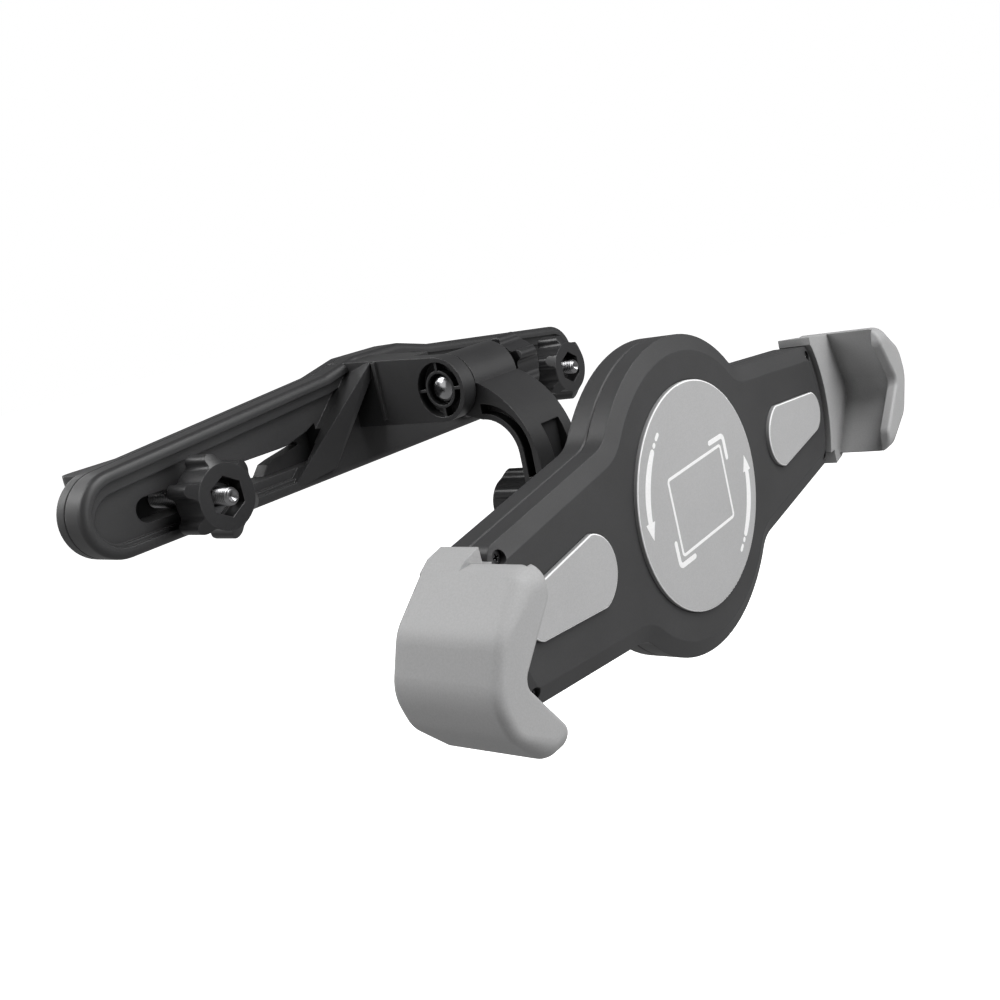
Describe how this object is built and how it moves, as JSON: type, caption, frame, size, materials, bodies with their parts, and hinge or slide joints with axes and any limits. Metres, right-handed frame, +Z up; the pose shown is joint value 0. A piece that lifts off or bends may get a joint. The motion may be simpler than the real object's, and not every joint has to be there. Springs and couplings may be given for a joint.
{
  "type": "headrest tablet mount",
  "caption": "Tablet holder for the back of a car seat: a slotted rail clamps to the headrest posts and carries a tilting arm with a turning holder and sprung claws.",
  "frame": {"origin": "on the rail's flat back, level with the clamp bolts and in line with the arm", "axes": "+X to the right seen from the passenger's side, +Y back to the headrest, +Z up"},
  "size_m": [0.2263, 0.1592, 0.0946],
  "materials": {
    "black_plastic": "fine matte grain",
    "grey_plastic": "soft matte",
    "zinc_steel": "zinc plated",
    "white_nylon": "natural",
    "spring_steel": "bare"
  },
  "bodies": {
    "rail": {"rail_front": "black_plastic", "rail_back": "black_plastic", "rail_screws": "zinc_steel", "hinge_screw": "zinc_steel"},
    "left_carriage": {"left_washer": "zinc_steel"},
    "left_clamp_knob": {"left_knob": "black_plastic", "left_nut": "zinc_steel"},
    "left_clamp_hook": {"left_hook": "black_plastic", "left_bolt": "zinc_steel"},
    "right_carriage": {"right_washer": "zinc_steel"},
    "right_clamp_knob": {"right_knob": "black_plastic", "right_nut": "zinc_steel"},
    "right_clamp_hook": {"right_hook": "black_plastic", "right_bolt": "zinc_steel"},
    "arm": {"arm": "black_plastic", "swivel_washer": "zinc_steel"},
    "tilt_knob": {"hinge_knob": "black_plastic", "hinge_nut": "zinc_steel"},
    "holder": {"rear_cover": "black_plastic", "front_cover": "black_plastic", "cover_screws": "zinc_steel", "center_disc": "grey_plastic", "left_pad": "grey_plastic", "right_pad": "grey_plastic", "swivel_neck": "black_plastic", "neck_screws": "zinc_steel", "swivel_bolt": "zinc_steel", "return_spring": "spring_steel"},
    "turn_knob": {"swivel_knob": "black_plastic", "swivel_nut": "zinc_steel"},
    "right_jaw": {"right_claw": "grey_plastic"},
    "left_jaw": {"left_claw": "grey_plastic"},
    "pinion": {"pinion": "white_nylon"}
  },
  "joints": [
    {"name": "left_clamp_slide", "type": "slide", "parent": "rail", "child": "left_carriage", "axis": [1, 0, 0], "range_m": [-0.013, 0.0265]},
    {"name": "left_knob_turn", "type": "hinge", "parent": "left_carriage", "child": "left_clamp_knob", "pos_m": [-0.08, 0, 0], "axis": [0, 1, 0], "range_deg": [-2701, 901]},
    {"name": "left_hook_slide", "type": "slide", "parent": "left_carriage", "child": "left_clamp_hook", "axis": [0, 1, 0], "range_m": [-0.002, 0.006]},
    {"name": "right_clamp_slide", "type": "slide", "parent": "rail", "child": "right_carriage", "axis": [1, 0, 0], "range_m": [-0.0265, 0.0032]},
    {"name": "right_knob_turn", "type": "hinge", "parent": "right_carriage", "child": "right_clamp_knob", "pos_m": [0.08, 0, 0], "axis": [0, 1, 0], "range_deg": [-2701, 901]},
    {"name": "right_hook_slide", "type": "slide", "parent": "right_carriage", "child": "right_clamp_hook", "axis": [0, 1, 0], "range_m": [-0.002, 0.006]},
    {"name": "tilt", "type": "hinge", "parent": "rail", "child": "arm", "pos_m": [0, -0.0488, 0.0117], "axis": [1, 0, 0], "range_deg": [-60, 40]},
    {"name": "hinge_knob_turn", "type": "hinge", "parent": "rail", "child": "tilt_knob", "pos_m": [0, -0.0488, 0.0117], "axis": [1, 0, 0], "range_deg": [-360, 90]},
    {"name": "turn", "type": "hinge", "parent": "arm", "child": "holder", "pos_m": [0, -0.0724, -0.0267], "axis": [0, 1, 0], "continuous": true},
    {"name": "swivel_knob_turn", "type": "hinge", "parent": "holder", "child": "turn_knob", "pos_m": [0, -0.06, -0.0267], "axis": [0, 1, 0], "range_deg": [-360, 90]},
    {"name": "right_claw_slide", "type": "slide", "parent": "holder", "child": "right_jaw", "axis": [0.9983, 0, 0.0576], "range_m": [0, 0.035], "stiffness_N_per_m": 60, "springref_m": -0.02},
    {"name": "left_claw_slide", "type": "slide", "parent": "holder", "child": "left_jaw", "axis": [-0.9983, 0, -0.0576], "range_m": [0, 0.03501]},
    {"name": "pinion_turn", "type": "hinge", "parent": "holder", "child": "pinion", "pos_m": [0, -0.1252, -0.0267], "axis": [0, 1, 0], "range_deg": [0, 335]}
  ],
  "couplings": [
    {"joint": "left_knob_turn", "follows": "left_hook_slide", "rad_per_m": -7854},
    {"joint": "right_knob_turn", "follows": "right_hook_slide", "rad_per_m": -7854},
    {"joint": "left_claw_slide", "follows": "right_claw_slide", "ratio": 1},
    {"joint": "pinion_turn", "follows": "right_claw_slide", "rad_per_m": 166.67}
  ]
}
